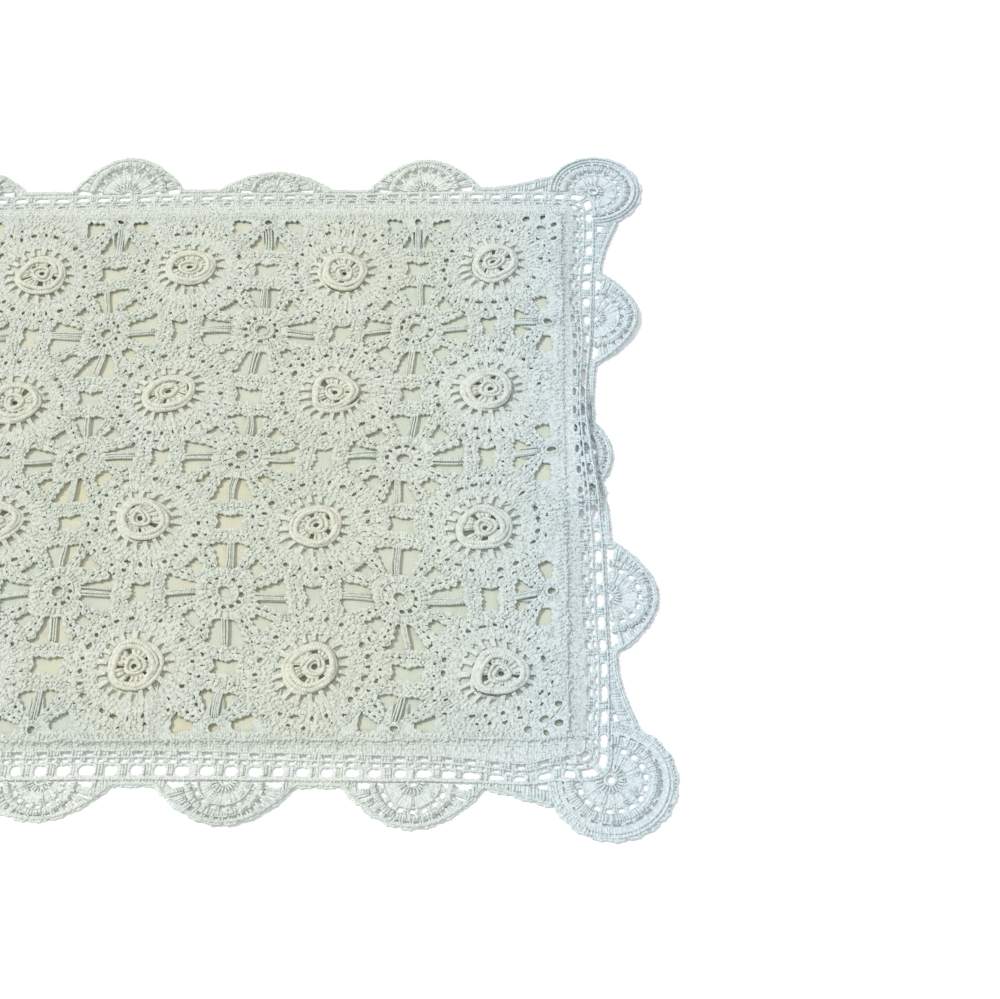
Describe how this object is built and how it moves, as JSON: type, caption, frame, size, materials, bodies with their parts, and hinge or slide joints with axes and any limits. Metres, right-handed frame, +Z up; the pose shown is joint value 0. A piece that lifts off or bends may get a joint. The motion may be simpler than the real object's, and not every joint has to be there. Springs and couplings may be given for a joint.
{
  "type": "pillow sham",
  "caption": "Small oblong pillow sham, empty and lying flat: crocheted rose motifs over a cream cloth, with a filet border, scallops and corner fans.",
  "frame": {"origin": "on the surface the sham lies on, under the middle of its outer box", "axes": "+X along the long side to the right, +Y to the back long side, +Z up, out of the lace face"},
  "size_m": [0.4845, 0.3475, 0.007],
  "materials": {
    "lace": "matt crochet cotton",
    "cloth": "matt plain-weave cotton"
  },
  "bodies": {
    "root": {"back_cloth": "cloth", "front_cloth": "cloth", "rose_motif_1_1": "lace", "rose_motif_1_2": "lace", "rose_motif_1_3": "lace", "rose_motif_1_4": "lace", "rose_motif_1_5": "lace", "rose_motif_1_6": "lace", "rose_motif_2_1": "lace", "rose_motif_2_2": "lace", "rose_motif_2_3": "lace", "rose_motif_2_4": "lace", "rose_motif_2_5": "lace", "rose_motif_2_6": "lace", "rose_motif_3_1": "lace", "rose_motif_3_2": "lace", "rose_motif_3_3": "lace", "rose_motif_3_4": "lace", "rose_motif_3_5": "lace", "rose_motif_3_6": "lace", "rose_motif_4_1": "lace", "rose_motif_4_2": "lace", "rose_motif_4_3": "lace", "rose_motif_4_4": "lace", "rose_motif_4_5": "lace", "rose_motif_4_6": "lace", "wheel_1_1": "lace", "wheel_1_2": "lace", "wheel_1_3": "lace", "wheel_1_4": "lace", "wheel_1_5": "lace", "wheel_2_1": "lace", "wheel_2_2": "lace", "wheel_2_3": "lace", "wheel_2_4": "lace", "wheel_2_5": "lace", "wheel_3_1": "lace", "wheel_3_2": "lace", "wheel_3_3": "lace", "wheel_3_4": "lace", "wheel_3_5": "lace", "edging_front": "lace", "edging_back": "lace", "edging_left": "lace", "edging_right": "lace", "corner_fan_front_left": "lace", "corner_fan_front_right": "lace", "corner_fan_back_left": "lace", "corner_fan_back_right": "lace"}
  },
  "joints": []
}
